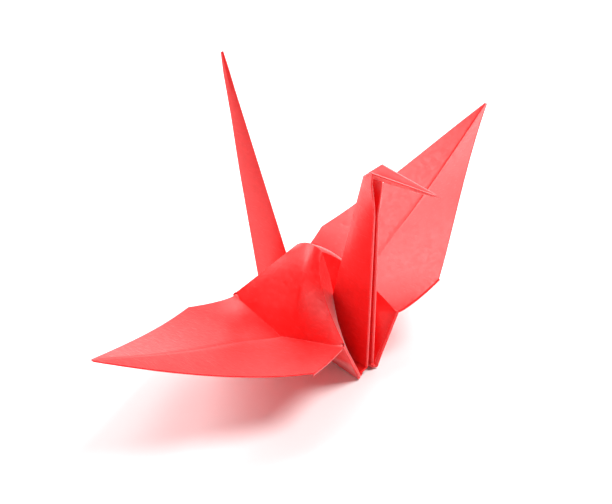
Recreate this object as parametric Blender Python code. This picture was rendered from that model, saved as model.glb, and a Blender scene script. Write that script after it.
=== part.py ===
"""Origami crane: one square sheet of paper, folded, with the layers of the sheet kept apart.

Lengths are in metres. +X is the way the head points, -Y is the near wing, +Z is up.
A flat place is (across, up) on the folded bird base: across from the spine, up from the tip of the leg.
"""
from math import atan2, cos, pi, radians, sin, sqrt, tan

import bmesh
import bpy
from mathutils import Matrix, Vector
from mathutils.kdtree import KDTree

# The sheet
PAPER_SIDE = 0.150
PAPER = 0.00011
PITCH = 0.00024
BEAD = 0.000075
SLIT = 0.00012

# The bird base: angles of its creases
NARROW_ANGLE = radians(11.25)
TIP_ANGLE = radians(22.5)

# Where the four corners of the back stand: the head's side and the tail's side
CORNER_HEAD_X = 0.0186
CORNER_HEAD_Y = 0.0095
CORNER_HEAD_Z = 0.0142
CORNER_TAIL_X = 0.0150
CORNER_TAIL_Y = 0.0102
CORNER_TAIL_Z = 0.0114
BACK_X = 0.0005
BACK_Z = 0.0272
BACK_ROUNDING = 1.25
SIDE_X = 0.0022
SIDE_Y = 0.0116
SIDE_Z = 0.0106
VALLEY_X = 0.0050
VALLEY_Z = 0.0135

# The neck and the tail
NECK_FOLD_Y = 0.0730
TAIL_FOLD_Y = 0.0757
NECK_FOOT_X = 0.0174
TAIL_FOOT_X = 0.0160
FOOT_HALF_GAP = 0.0026
HEEL_HALF_GAP = 0.0011
NECK_LEAN = radians(16.2)
TAIL_LEAN = radians(17.2)
NECK_SIDE_LEAN = radians(-1.6)
TAIL_SIDE_LEAN = radians(-2.0)
BEAK_LENGTH = 0.0150
BEAK_DROP = radians(15.0)
BEAK_TURN = radians(12.0)
TIP_BLUNT = 0.0022
HALF_OPEN_SHARE = 0.34

# The wings
NEAR_RISE = radians(22.0)
FAR_RISE = radians(29.0)
NEAR_TURN = radians(-2.3)
FAR_TURN = radians(2.0)
NEAR_SAG = 0.0014
FAR_SAG = 0.0002
HINGE_RADIUS = 0.0006

NEAR, FAR = -1.0, 1.0
HEAD, TAIL = 1.0, -1.0

narrow = tan(NARROW_ANGLE)
centre_y = PAPER_SIDE / sqrt(2.0)
wing_tip_y = PAPER_SIDE
knee_y = centre_y / (1.0 + narrow)
belly_y = PAPER_SIDE / 2.0
wide_y = tan(TIP_ANGLE) * wing_tip_y / (narrow + tan(TIP_ANGLE))
petal_y = belly_y / cos(TIP_ANGLE)
flap_x = knee_y - petal_y


def clear_scene():
    for item in list(bpy.data.objects):
        bpy.data.objects.remove(item, do_unlink=True)
    for mesh in list(bpy.data.meshes):
        bpy.data.meshes.remove(mesh)


def mix(a, b, t):
    return a.lerp(b, t)


def solid_from(mesh, name):
    item = bpy.data.objects.new(name, mesh)
    bpy.context.scene.collection.objects.link(item)
    return item


def baked(item):
    """Replaces an object by what its modifiers make of it."""
    graph = bpy.context.evaluated_depsgraph_get()
    mesh = bpy.data.meshes.new_from_object(item.evaluated_get(graph))
    item.modifiers.clear()
    old = item.data
    item.data = mesh
    bpy.data.meshes.remove(old)
    return item


def sheet(name, rows, loop=False):
    """A piece of paper whose middle surface runs through rows of points."""
    bm = bmesh.new()
    verts = [[bm.verts.new(p) for p in row] for row in rows]
    for upper, lower in zip(verts, verts[1:]):
        count = len(upper)
        for i in range(count if loop else count - 1):
            j = (i + 1) % count
            bm.faces.new((upper[i], upper[j], lower[j], lower[i]))
    bmesh.ops.remove_doubles(bm, verts=bm.verts, dist=PAPER / 20.0)
    bmesh.ops.dissolve_degenerate(bm, edges=bm.edges, dist=PAPER / 20.0)
    bmesh.ops.recalc_face_normals(bm, faces=bm.faces)
    mesh = bpy.data.meshes.new(name)
    bm.to_mesh(mesh)
    bm.free()
    item = solid_from(mesh, name)
    thick = item.modifiers.new("paper", 'SOLIDIFY')
    thick.thickness = PAPER
    thick.offset = 0.0
    thick.use_even_offset = True
    thick.thickness_clamp = 0.0
    return baked(item)


def bead(name, points, radius=BEAD):
    """The rounded outside of a fold, along a line of points."""
    sides = 4
    bm = bmesh.new()
    rings = []
    for i, p in enumerate(points):
        before = points[max(i - 1, 0)]
        after = points[min(i + 1, len(points) - 1)]
        along = (after - before).normalized()
        flat = along.orthogonal().normalized() if i == 0 else (last - along * last.dot(along)).normalized()
        last = flat
        other = along.cross(flat)
        ring = []
        for k in range(sides):
            turn = 2.0 * pi * k / sides
            ring.append(bm.verts.new(p + (flat * cos(turn) + other * sin(turn)) * radius))
        rings.append(ring)
    for a, b in zip(rings, rings[1:]):
        for k in range(sides):
            m = (k + 1) % sides
            bm.faces.new((a[k], a[m], b[m], b[k]))
    bm.faces.new(list(reversed(rings[0])))
    bm.faces.new(rings[-1])
    bmesh.ops.recalc_face_normals(bm, faces=bm.faces)
    mesh = bpy.data.meshes.new(name)
    bm.to_mesh(mesh)
    bm.free()
    return solid_from(mesh, name)


# Corners of the body
def corner(side, end):
    if end == HEAD:
        return Vector((CORNER_HEAD_X, side * CORNER_HEAD_Y, CORNER_HEAD_Z))
    return Vector((-CORNER_TAIL_X, side * CORNER_TAIL_Y, CORNER_TAIL_Z))


def fold_y(end):
    return NECK_FOLD_Y if end == HEAD else TAIL_FOLD_Y


def foot(side, end):
    x = NECK_FOOT_X if end == HEAD else -TAIL_FOOT_X
    return Vector((x, side * FOOT_HALF_GAP, 0.0))


def heel(end):
    """Where the spine of the leg meets its reverse fold."""
    toe = foot(NEAR, end)
    return Vector((toe.x - end * narrow * fold_y(end), 0.0, 0.0))


def side_middle(side):
    return Vector((SIDE_X, side * SIDE_Y, SIDE_Z))


def apex():
    return Vector((BACK_X, 0.0, BACK_Z))


def wall_point(side, end, across, up, layer):
    """A flat place on the side wall under the wing, a number of layers out from the pocket."""
    share = across / (narrow * up)
    down = (knee_y - up) / (knee_y - fold_y(end))
    top = mix(side_middle(side), corner(side, end), share)
    low = foot_line(side, end, share)
    out = wall_normal(side, end)
    return mix(top, low, down) + out * (layer * PITCH)


def foot_line(side, end, share):
    """Along the reverse fold at the bottom, from beside the heel to the foot."""
    place = mix(heel(end), foot(side, end), share)
    place.y = side * (HEEL_HALF_GAP + (FOOT_HALF_GAP - HEEL_HALF_GAP) * share)
    return place


def wall_normal(side, end):
    along = corner(side, end) - side_middle(side)
    down = mix(heel(end), foot(side, end), 0.5) - mix(side_middle(side), corner(side, end), 0.5)
    out = along.cross(down).normalized()
    return out if out.y * side > 0.0 else -out


def valley_point(end, t):
    """The valley of a pocket, from the back (0) to the heel (1)."""
    a = apex()
    b = Vector((end * VALLEY_X, 0.0, VALLEY_Z))
    c = heel(end)
    b = b * 2.0 - (a + c) * 0.5
    return a * (1.0 - t) ** 2 + b * (2.0 * t * (1.0 - t)) + c * t ** 2


KNEE_SHARE = 0.5


def ridge_point(side, end, t):
    """The fold between the back's panel and the pocket, from the back (0) to the corner (1)."""
    a = apex()
    b = corner(side, end)
    flat = mix(a, b, t)
    flat.z = a.z + (b.z - a.z) * t ** BACK_ROUNDING
    return flat


def middle_point(side, t):
    """The centre crease of the back's panel, from the back (0) to the wing (1)."""
    a = apex()
    b = side_middle(side)
    p = mix(a, b, t)
    p.z = a.z + (b.z - a.z) * t ** (BACK_ROUNDING + 0.45)
    return p


def panel_rows(side, levels, steps):
    """The back's panel, then its hidden lower part down to the belly crease."""
    rows = []
    for n in range(levels + 1):
        t = n / levels
        left = ridge_point(side, TAIL, t)
        mid = middle_point(side, t)
        right = ridge_point(side, HEAD, t)
        row = [curve(left, mid, right, k / steps) for k in range(steps + 1)]
        rows.append(row)
    for t in (0.12, 0.55, 1.0):
        up = knee_y + (belly_y - knee_y) * t
        row = []
        for k in range(steps + 1):
            f = 2.0 * k / steps - 1.0
            end = HEAD if f > 0.0 else TAIL
            share = abs(f) * 0.97
            across = share * narrow * up
            up_here = max(up, fold_y(end) + 2.0 * PITCH)
            row.append(wall_point(side, end, across, up_here, 1.0))
        rows.append(row)
    return rows


def curve(left, mid, right, t):
    """Through three points: the outer ones at 0 and 1, the middle one at a half."""
    bent = mid * 2.0 - (left + right) * 0.5
    return left * (1.0 - t) ** 2 + bent * (2.0 * t * (1.0 - t)) + right * t ** 2


def pocket_rows(side, end, levels, steps):
    """From the ridge and the corner's edge across to the valley, down to the reverse fold."""
    rows = []
    for n in range(levels + 1):
        t = n / levels
        outer = edge_point(side, end, t)
        inner = valley_point(end, t)
        rows.append([mix(inner, outer, k / steps) for k in range(steps + 1)])
    return rows


def edge_point(side, end, t):
    """Down the ridge to the corner, then down the narrowed edge to the foot."""
    if t <= KNEE_SHARE:
        return ridge_point(side, end, t / KNEE_SHARE)
    return mix(corner(side, end), foot(side, end), (t - KNEE_SHARE) / (1.0 - KNEE_SHARE))


# Legs: the neck and the tail
def leg_axis(end):
    lean = NECK_LEAN if end == HEAD else TAIL_LEAN
    slant = NECK_SIDE_LEAN if end == HEAD else TAIL_SIDE_LEAN
    return Vector((end * sin(lean), sin(slant), cos(lean))).normalized()


def leg_forward(end):
    axis = leg_axis(end)
    return (Vector((end, 0.0, 0.0)) - axis * axis.x * end).normalized()


def opening(side, end, up):
    """How far one half of a leg turns away from the middle plane, at a distance from the tip."""
    if end == HEAD:
        low = NECK_OPEN_NEAR if side == NEAR else NECK_OPEN_FAR
        high = HEAD_OPEN_NEAR if side == NEAR else HEAD_OPEN_FAR
        t = max(0.0, min(1.0, (up - BEAK_LENGTH) / HEAD_OPEN_LENGTH))
        return high + (low - high) * t ** 0.6
    return TAIL_OPEN


NECK_OPEN_NEAR = radians(1.0)
NECK_OPEN_FAR = radians(6.0)
HEAD_OPEN_NEAR = radians(38.0)
HEAD_OPEN_FAR = radians(46.0)
HEAD_OPEN_LENGTH = 0.016
TAIL_OPEN = radians(3.0)
THIN_FROM = 0.030
THIN_LEAST = 0.62


def pitch_at(up):
    return PITCH * max(THIN_LEAST, min(1.0, up / THIN_FROM))


def leg_point(side, end, share, up, layer, out=0.0):
    """A place on a leg: share of its width, distance from its tip, layers in from the outer one."""
    axis = leg_axis(end)
    forward = leg_forward(end)
    side_way = axis.cross(forward)
    if side_way.y * side < 0.0:
        side_way = -side_way
    angle = opening(side, end, up)
    pitch = pitch_at(up)
    wedge = min(1.0, share / HALF_OPEN_SHARE) * min(3.6 * pitch, 0.5 * narrow * up)
    along = share * narrow * up + out * pitch
    base = heel(end) + axis * (fold_y(end) - up)
    place = forward * (along * cos(angle)) + side_way * (along * sin(angle) + wedge)
    inward = forward * sin(angle) - side_way * cos(angle)
    return base + place + inward * (layer * pitch)


def turn_rows(side, end, columns):
    """Around the reverse fold at the bottom: from the wall, underneath, up into the leg."""
    rows = []
    out = wall_normal(side, end)
    inward = Vector((0.0, -side, 0.0))
    down = Vector((0.0, 0.0, -1.0))
    across = (foot(side, end) - heel(end)).normalized()
    for n in range(TURN_STEPS + 1):
        angle = pi * n / TURN_STEPS
        row = []
        for base_share, leg_share, base_layer, leg_layer, extra in columns:
            share = base_share + (leg_share - base_share) * n / TURN_STEPS
            line = foot_line(side, end, share) + across * (extra * PITCH)
            line.y *= min(1.0, share / HALF_OPEN_SHARE)
            radius = (base_layer + (leg_layer - base_layer) * n / TURN_STEPS + 0.5) * PITCH
            radius *= min(1.0, share / HALF_OPEN_SHARE)
            way = out if angle < pi / 2.0 else inward
            row.append(line + (way * abs(cos(angle)) + down * sin(angle)) * radius)
        rows.append(row)
    return rows


TURN_STEPS = 3
NECK_ROWS = 3
POCKET_LEVELS = 6
SKIN_SHARES = (0.0, HALF_OPEN_SHARE, 0.67, 1.0)
INNER_SHARE = HALF_OPEN_SHARE
LEG_INNER_END = 0.010


def top_up(end, share, last):
    """The highest station of a leg: the head's fold for the neck, the tip for the tail."""
    if end == HEAD:
        return BEAK_LENGTH - share * narrow * BEAK_LENGTH * HEAD_FOLD_SLOPE
    return last


HEAD_FOLD_SLOPE = 0.95


def skin_rows(side, end):
    """The leg's outer layer: the pocket, around the reverse fold, and up the leg."""
    rows = []
    for n in range(POCKET_LEVELS + 1):
        t = n / POCKET_LEVELS
        outer = edge_point(side, end, t)
        inner = valley_point(end, t)
        lap = (outer - inner).normalized() * (EDGE_LAP * PITCH * t ** 2)
        rows.append([mix(inner, outer, s) for s in SKIN_SHARES] + [outer + lap])
    rows = rows[:-1]
    turn = [(s, s, 0.0, 0.0, 0.0) for s in SKIN_SHARES]
    rows += turn_rows(side, end, turn + [(1.0, 1.0, 0.0, 0.0, EDGE_LAP)])
    last = TIP_BLUNT
    start = fold_y(end) - LEG_START
    for n in range(NECK_ROWS + 1):
        t = n / NECK_ROWS
        if end == HEAD:
            t = t ** 0.7
        row = []
        for s in SKIN_SHARES:
            up = start + (top_up(end, s, last) - start) * t
            row.append(leg_point(side, end, s, up, 0.0))
        row.append(leg_point(side, end, 1.0, up, 0.0, EDGE_LAP))
        rows.append(row)
    return rows


LEG_START = 0.004
EDGE_LAP = 0.4
SHEET_LAP = 0.0009


def wrap_columns(base):
    """Across the inner layers of a half leg: around the edge, back, and twice more."""
    lo, mid, hi = (0.0, 2.5, 5.0) if base else (0.0, 1.5, 3.0)
    inner = (4.0, 3.0) if base else (2.0, 1.0)
    e = INNER_SHARE
    columns = [(1.0, lo, 0.0)]
    radius = (hi - lo) / 2.0
    for k in (1, 2):
        angle = -pi / 2.0 + pi * k / 3.0
        columns.append((1.0, mid + radius * sin(angle), radius * cos(angle) * 0.8))
    columns.append((1.0, hi, 0.0))
    columns.append((e, hi, 0.0))
    columns.append((e, (hi + inner[0]) / 2.0, -0.5))
    columns.append((e, inner[0], 0.0))
    columns.append((1.0, inner[0], 0.0))
    columns.append((1.0, (inner[0] + inner[1]) / 2.0, 0.5))
    columns.append((1.0, inner[1], 0.0))
    columns.append((e, inner[1], 0.0))
    return columns


def wrap_rows(side, end):
    """The inner layers of a half leg, from the wall around the reverse fold and up the leg."""
    base = wrap_columns(True)
    leg = wrap_columns(False)
    rows = []
    across = (foot(side, end) - heel(end)).normalized()
    for n in range(BASE_ROWS):
        t = n / BASE_ROWS
        row = []
        for share, layer, out in base:
            inner = BASE_INNER_SHARE + (TURN_INNER_SHARE - BASE_INNER_SHARE) * t ** 3
            wide = share if share == 1.0 else inner
            top = petal_y + (knee_y - petal_y) * wide
            up = top + (fold_y(end) + 3.0 * PITCH - top) * t
            row.append(wall_point(side, end, wide * narrow * up, up, layer) + across * (out * PITCH))
        rows.append(row)
    turn = []
    for (share, layer, out), (_, leg_layer, _) in zip(base, leg):
        wide = share if share == 1.0 else TURN_INNER_SHARE
        turn.append((wide, share, layer, leg_layer, out))
    rows += turn_rows(side, end, turn)
    start = fold_y(end) - LEG_START
    for n in range(NECK_ROWS + 1):
        t = n / NECK_ROWS
        if end == HEAD:
            t = t ** 0.7
        row = []
        for share, layer, out in leg:
            last = top_up(end, share, LEG_INNER_END)
            up = start + (last - start) * t
            row.append(leg_point(side, end, share, up, layer, out))
        rows.append(row)
    return rows


BASE_ROWS = 3
BASE_INNER_SHARE = 0.10
TURN_INNER_SHARE = 0.36


def beak_sheets(pieces):
    """The beak: each half of the neck's tip, folded forward and spread."""
    nape = leg_point(NEAR, HEAD, 0.0, BEAK_LENGTH, 0.0)
    way = Vector((cos(BEAK_DROP) * cos(BEAK_TURN), cos(BEAK_DROP) * sin(BEAK_TURN), -sin(BEAK_DROP)))
    tip = nape + way * BEAK_LENGTH
    for side in (NEAR, FAR):
        rim = leg_point(side, HEAD, 1.0, top_up(HEAD, 1.0, 0.0), 0.0)
        under = (rim - nape).cross(way).normalized()
        back = under if under.y * side < 0.0 else -under
        rows = []
        for n in range(3):
            t = n / 2.0 * (1.0 - TIP_BLUNT / BEAK_LENGTH)
            a = mix(nape, tip, t)
            b = mix(rim, tip, t)
            depth = back * (PITCH * 1.6 * (1.0 - t * 0.55))
            out = (b - a).normalized() * (PITCH * 0.5)
            rows.append([a, mix(a, b, 0.5), b, b + depth * 0.5 + out, b + depth, mix(a, b, 0.3) + depth])
        pieces.append(sheet("beak", rows))
        pieces.append(bead("beak_fold", [nape, rim]))
    ends = [mix(nape, tip, t) for t in (0.0, 0.5, 1.0 - 0.5 * TIP_BLUNT / BEAK_LENGTH)]
    pieces.append(bead("beak_spine", ends, BEAD * 1.2))
    pieces.append(tip_solid(mix(nape, tip, 0.62), tip, 0.38 * BEAK_LENGTH, way))


def tip_solid(start, tip, length, way):
    """The last of a leg, where the layers are pressed into one."""
    width = narrow * length * 0.45
    blunt = PAPER * 1.2
    up = Vector((0.0, 0.0, 1.0))
    across = way.cross(up).normalized()
    rise = across.cross(way).normalized()
    bm = bmesh.new()
    rings = []
    for centre, size in ((start, width), (tip - way * (TIP_BLUNT * 0.4), width * 0.25)):
        thick = min(size, PITCH * 1.6)
        ring = [centre + across * thick, centre + rise * size, centre - across * thick, centre - rise * size * 0.6]
        rings.append([bm.verts.new(p + way * blunt) for p in ring])
    for k in range(4):
        m = (k + 1) % 4
        bm.faces.new((rings[0][k], rings[0][m], rings[1][m], rings[1][k]))
    bm.faces.new(list(reversed(rings[0])))
    bm.faces.new(rings[1])
    bmesh.ops.recalc_face_normals(bm, faces=bm.faces)
    mesh = bpy.data.meshes.new("tip")
    bm.to_mesh(mesh)
    bm.free()
    return solid_from(mesh, "tip")


# Wings
def half_width(up):
    if up >= wide_y:
        return tan(TIP_ANGLE) * (wing_tip_y - up)
    return narrow * up


def wing_frame(side):
    rise = NEAR_RISE if side == NEAR else FAR_RISE
    turn = NEAR_TURN if side == NEAR else FAR_TURN
    head = corner(side, HEAD)
    tail = corner(side, TAIL)
    across = (head - tail).normalized()
    out = Vector((sin(turn), side * cos(turn) * cos(rise), sin(rise))).normalized()
    out = (out - across * out.dot(across)).normalized()
    down = across.cross(out).normalized()
    if down.z > 0.0:
        down = -down
    return mix(head, tail, 0.5), across, out, down


def wing_point(side, x, up, layer):
    """A flat place on a wing, a number of layers under its top."""
    origin, across, out, down = wing_frame(side)
    far = up - knee_y
    length = wing_tip_y - knee_y
    sag = (NEAR_SAG if side == NEAR else FAR_SAG) * sin(pi * min(1.0, far / length) ** 0.85)
    place = origin + across * x + out * far + down * sag
    f = max(-1.0, min(1.0, x / (narrow * knee_y)))
    end = HEAD if f >= 0.0 else TAIL
    root = mix(side_middle(side), corner(side, end), abs(f))
    slack = root - (origin + across * (f * narrow * knee_y))
    fade = max(0.0, 1.0 - far / ROOT_BLEND)
    place += slack * fade * fade
    crease = max(0.0, 1.0 - abs(x) / CREASE_HALF) * CREASE_DEPTH * min(1.0, far / ROOT_BLEND + 0.2)
    lean = min(1.0, far / HINGE_RADIUS)
    normal = mix(mix(wall_normal(side, end), down, 0.5).normalized(), down, lean).normalized()
    return place + down * crease + normal * ((2.0 + layer) * PITCH)


ROOT_BLEND = 0.022
CREASE_HALF = 0.0005
CREASE_DEPTH = 0.00012
WING_UPS = (0.1492, 0.134, 0.118, None, 0.0965, 0.0925)


def wing_stations():
    return [wide_y if up is None else up for up in WING_UPS] + [knee_y]


def wing_top(side):
    marks = (1.0, 0.5)
    rows = []
    for up in wing_stations():
        w = half_width(up)
        small = min(CREASE_HALF, w * 0.2)
        xs = [-w * m for m in marks] + [-small, 0.0, small] + [w * m for m in reversed(marks)]
        rows.append([wing_point(side, x, up, 0.0) for x in xs])
    for t in (0.15, 1.0):
        up = knee_y + (belly_y - knee_y) * t
        row = []
        for f in (-1.0, -0.5, -0.02, 0.0, 0.02, 0.5, 1.0):
            end = HEAD if f >= 0.0 else TAIL
            up_here = max(up, fold_y(end) + 2.0 * PITCH)
            row.append(wall_point(side, end, abs(f) * 0.97 * narrow * up_here, up_here, 2.0))
        rows.append(row)
    return rows


def wing_under(side, end):
    """One half of the wing's lower layer, ending at the wing's centre slit."""
    marks = (0.5, 1.0)
    rows = []
    for up in wing_stations():
        w = half_width(up)
        small = min(SLIT, w * 0.3)
        rows.append([wing_point(side, end * x, up, 1.0) for x in [small] + [w * m for m in marks]])
    row = []
    for share in (BASE_INNER_SHARE, 0.4, 0.7, 1.0):
        up = petal_y + (knee_y - petal_y) * share - SHEET_LAP
        row.append(wall_point(side, end, share * narrow * up, up, 3.2))
    rows.append(row)
    return rows


def flap_rows(side, end, layer, below):
    """A narrowed corner under the wing, from the hinge to the wing's widest place."""
    knee_x = narrow * knee_y
    wide_x = half_width(wide_y)
    steps = 3
    rows = []
    if below:
        row = []
        for k in range(steps):
            share = BASE_INNER_SHARE + (1.0 - BASE_INNER_SHARE) * k / (steps - 1)
            up = petal_y + (knee_y - petal_y) * share - SHEET_LAP
            row.append(wall_point(side, end, share * narrow * up, up, 4.2))
        rows.append(row)
    for n in range(4):
        t = 0.96 * n / 3.0
        a = flap_x + (wide_x - flap_x) * t
        b = knee_x + (wide_x - knee_x) * t
        up = knee_y + (wide_y - knee_y) * t
        rows.append([wing_point(side, end * (a + (b - a) * k / (steps - 1)), up, layer) for k in range(steps)])
    return rows


def hem(name, points, layers_from, layers_to, place):
    """A folded edge that holds several layers together: a bar with a rounded outside."""
    bm = bmesh.new()
    rings = []
    half = (layers_to - layers_from) / 2.0
    middle = (layers_to + layers_from) / 2.0
    for p in points:
        ring = []
        for k in range(HEM_STEPS + 1):
            angle = -pi / 2.0 + pi * k / HEM_STEPS
            ring.append(place(p, middle + half * sin(angle), half * 0.7 * cos(angle)))
        rings.append([bm.verts.new(q) for q in ring])
    for a, b in zip(rings, rings[1:]):
        for k in range(HEM_STEPS + 1):
            m = (k + 1) % (HEM_STEPS + 1)
            bm.faces.new((a[k], a[m], b[m], b[k]))
    bm.faces.new(list(reversed(rings[0])))
    bm.faces.new(rings[-1])
    bmesh.ops.recalc_face_normals(bm, faces=bm.faces)
    mesh = bpy.data.meshes.new(name)
    bm.to_mesh(mesh)
    bm.free()
    return solid_from(mesh, name)


HEM_STEPS = 4


def wing_edge(side, end, pieces):
    thick = PAPER / PITCH / 2.0

    def place(up, layer, out):
        x = end * (half_width(up) - PITCH * 0.3 + out * PITCH)
        return wing_point(side, x, up, layer)

    free = [0.1491, 0.134, 0.118, wide_y]
    pieces.append(hem("wing_edge", free, -thick, 1.0 + thick, place))
    rooted = [wide_y, 0.0965, 0.0925, knee_y + PITCH]
    pieces.append(hem("wing_corner_edge", rooted, -thick, 3.0 + thick, place))


def largest_only(mesh):
    """Drops the slivers that the union leaves inside the folds."""
    bm = bmesh.new()
    bm.from_mesh(mesh)
    bmesh.ops.dissolve_limit(bm, angle_limit=FLAT_ANGLE, verts=bm.verts, edges=bm.edges)
    seen = set()
    best = []
    for face in bm.faces:
        if face in seen:
            continue
        group = []
        stack = [face]
        seen.add(face)
        while stack:
            here = stack.pop()
            group.append(here)
            for edge in here.edges:
                for other in edge.link_faces:
                    if other not in seen:
                        seen.add(other)
                        stack.append(other)
        if len(group) > len(best):
            best = group
    keep = set(best)
    bmesh.ops.delete(bm, geom=[f for f in bm.faces if f not in keep], context='FACES')
    bm.to_mesh(mesh)
    bm.free()


FLAT_ANGLE = radians(0.3)
CROWD_GAP = 0.000005
CROWD_STEP = 0.00001
CROWD_ROUNDS = 3


def crowds_parted(mesh):
    """Draws corners that all but touch a hair apart, each back along its own edges."""
    bm = bmesh.new()
    bm.from_mesh(mesh)
    bm.verts.ensure_lookup_table()
    tree = KDTree(len(bm.verts))
    for vert in bm.verts:
        tree.insert(vert.co, vert.index)
    tree.balance()
    places = {}
    for vert in bm.verts:
        crowd = {index for _, index, _ in tree.find_range(vert.co, CROWD_GAP)}
        if len(crowd) < 2:
            continue
        way = Vector((0.0, 0.0, 0.0))
        for edge in vert.link_edges:
            other = edge.other_vert(vert)
            if other.index not in crowd:
                way += (other.co - vert.co).normalized()
        if way.length > 0.0:
            places[vert.index] = vert.co + way.normalized() * CROWD_STEP
    for index, place in places.items():
        bm.verts[index].co = place
    bm.to_mesh(mesh)
    bm.free()
    return len(places)


def joined(pieces):
    """One closed solid out of all the overlapping sheets."""
    body = pieces[0]
    for piece in pieces[1:]:
        join = body.modifiers.new("join", 'BOOLEAN')
        join.operation = 'UNION'
        join.solver = 'MANIFOLD'
        join.object = piece
        baked(body)
        bpy.data.objects.remove(piece, do_unlink=True)
    return body


def red_paper():
    material = bpy.data.materials.new("red_paper")
    material.use_nodes = True
    shader = material.node_tree.nodes["Principled BSDF"]
    shader.inputs["Base Color"].default_value = (0.90, 0.06, 0.065, 1.0)
    shader.inputs["Roughness"].default_value = 0.75
    material.diffuse_color = (0.90, 0.06, 0.065, 1.0)
    return material


def build():
    clear_scene()
    pieces = []
    for side in (NEAR, FAR):
        pieces.append(sheet("panel", panel_rows(side, 6, 6)))
    for end in (HEAD, TAIL):
        for side in (NEAR, FAR):
            pieces.append(sheet("skin", skin_rows(side, end)))
            ridge = [ridge_point(side, end, k / 6.0) for k in range(1, 7)]
            pieces.append(bead("ridge", ridge))
        skin = skin_rows(NEAR, end)
        spine = [row[0] for row in skin]
        clean = [spine[0]]
        for p in spine[1:]:
            if (p - clean[-1]).length > PAPER:
                clean.append(p)
        pieces.append(bead("spine", clean, BEAD * 1.1))
    for side in (NEAR, FAR):
        pieces.append(sheet("wing_top", wing_top(side)))
        seam = wing_top(side)[-1]
        pieces.append(bead("belly_wing", seam, PITCH * 0.62))
        for end in (HEAD, TAIL):
            pieces.append(sheet("wrap", wrap_rows(side, end)))
            pieces.append(sheet("wing_under", wing_under(side, end)))
            pieces.append(sheet("flap", flap_rows(side, end, 2.0, True)))
            pieces.append(sheet("flap_low", flap_rows(side, end, 3.0, False)))
            wing_edge(side, end, pieces)
    beak_sheets(pieces)
    for item in pieces:
        item.data.materials.clear()
    crane = joined(pieces)
    largest_only(crane.data)
    for _ in range(CROWD_ROUNDS):
        crowds_parted(crane.data)
    crane.name = "crane"
    crane.data.name = "crane"
    low = Vector([min(v.co[i] for v in crane.data.vertices) for i in range(3)])
    high = Vector([max(v.co[i] for v in crane.data.vertices) for i in range(3)])
    shift = Vector((-(low.x + high.x) / 2.0, -(low.y + high.y) / 2.0, -low.z))
    crane.data.transform(Matrix.Translation(shift))
    crane.data.materials.append(red_paper())
    for face in crane.data.polygons:
        face.use_smooth = False
    return crane


build()
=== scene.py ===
"""Studio scene of the red origami crane, on a white table."""
from math import cos, pi, radians, sin, sqrt, tan

import bmesh
import bpy
from mathutils import Matrix, Vector


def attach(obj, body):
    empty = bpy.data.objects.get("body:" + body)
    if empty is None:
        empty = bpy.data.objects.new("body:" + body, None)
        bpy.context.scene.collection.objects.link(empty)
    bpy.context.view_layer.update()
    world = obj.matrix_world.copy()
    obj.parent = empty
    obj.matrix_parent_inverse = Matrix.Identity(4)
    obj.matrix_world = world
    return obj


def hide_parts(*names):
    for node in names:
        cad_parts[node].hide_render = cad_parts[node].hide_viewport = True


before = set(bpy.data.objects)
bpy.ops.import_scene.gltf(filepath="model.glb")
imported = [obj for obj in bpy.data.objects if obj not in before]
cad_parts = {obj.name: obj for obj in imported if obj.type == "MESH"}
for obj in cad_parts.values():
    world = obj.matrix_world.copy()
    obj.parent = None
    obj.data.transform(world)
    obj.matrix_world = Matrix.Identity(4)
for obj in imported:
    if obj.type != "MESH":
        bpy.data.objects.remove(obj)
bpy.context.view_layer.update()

# Camera, as fitted to the photograph: degrees, metres, and pixels of the 612 x 504 picture
AZIMUTH = 43.857
ELEVATION = 33.412
ROLL = -0.095
FOCAL_PIXELS = 1481.0
DISTANCE = 0.360739
TARGET_RIGHT = -0.001472
TARGET_UP = 0.020713
IMAGE_WIDTH = 612.0
SENSOR_WIDTH = 36.0
CLIP_START = 0.01
CLIP_END = 20.0

# From the folds' own origin to the part's frame, where the feet stand at z = 0
MODEL_SHIFT = Vector((-0.0041474, 0.0019965, 0.0015845))

# Lamps: name, azimuth, elevation, width in metres and power in watts
LAMP_DISTANCE = 1.2
LAMP_AIM = Vector((0.0, 0.0, 0.02))
LAMPS = (
    ("left", -177.0, 30.0, 0.8, 2.5),
    ("left_low", 165.0, 15.0, 0.7, 4.0),
    ("left_high", -160.0, 45.0, 0.7, 7.4),
    ("front_left", -97.0, 26.0, 0.5, 2.2),
    ("front", -47.0, 50.0, 0.8, 1.2),
    ("right", 45.0, 60.0, 0.6, 13.5),
    ("back", 110.0, 35.0, 0.9, 5.6),
    ("back_high", 130.0, 50.0, 0.8, 4.9),
)
WORLD_COLOUR = (1.0, 1.0, 1.0, 1.0)
WORLD_STRENGTH = 0.03

# The white table
FLOOR_HALF = 1.1
FLOOR_COLOUR = (0.9, 0.9, 0.9, 1.0)
FLOOR_ROUGHNESS = 0.8

# The paper's look: colours in linear light, noise scales in steps per metre
DEEP_RED = (0.90, 0.001, 0.0015, 1.0)
PAPER_RED = (0.98, 0.003, 0.0035, 1.0)
FADED_RED = (1.0, 0.014, 0.015, 1.0)
THREAD_RED = (1.0, 0.03, 0.032, 1.0)
WORN_RED = (1.0, 0.07, 0.075, 1.0)
# The next colour is a painted highlight: paler red for the head's upward faces, standing in for lamp
# gloss
PAINTED_HIGHLIGHT_RED = (1.0, 0.15, 0.155, 1.0)
EVEN = (1.0, 1.0, 1.0)
UNTURNED = (0.0, 0.0, 0.0)
NOISE_ROUGHNESS = 0.6
GRAIN_SCALE = 900.0
GRAIN_DETAIL = 2.0
GRAIN_LOW = 0.2
GRAIN_HIGH = 0.8
CLOUD_SCALE = 260.0
CLOUD_DETAIL = 3.0
CLOUD_LOW = 0.35
CLOUD_HIGH = 0.7
CLOUD_SHARE = 0.3
FIBRE_SCALE = 420.0
FIBRE_DETAIL = 1.0
FIBRE_STRETCH = (1.0, 3.5, 3.5)
FIBRE_TURNS = ((0.3, 0.5, 0.2), (0.2, -0.6, 1.4), (1.1, 0.4, 2.3))
FIBRE_FROM = 0.64
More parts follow.
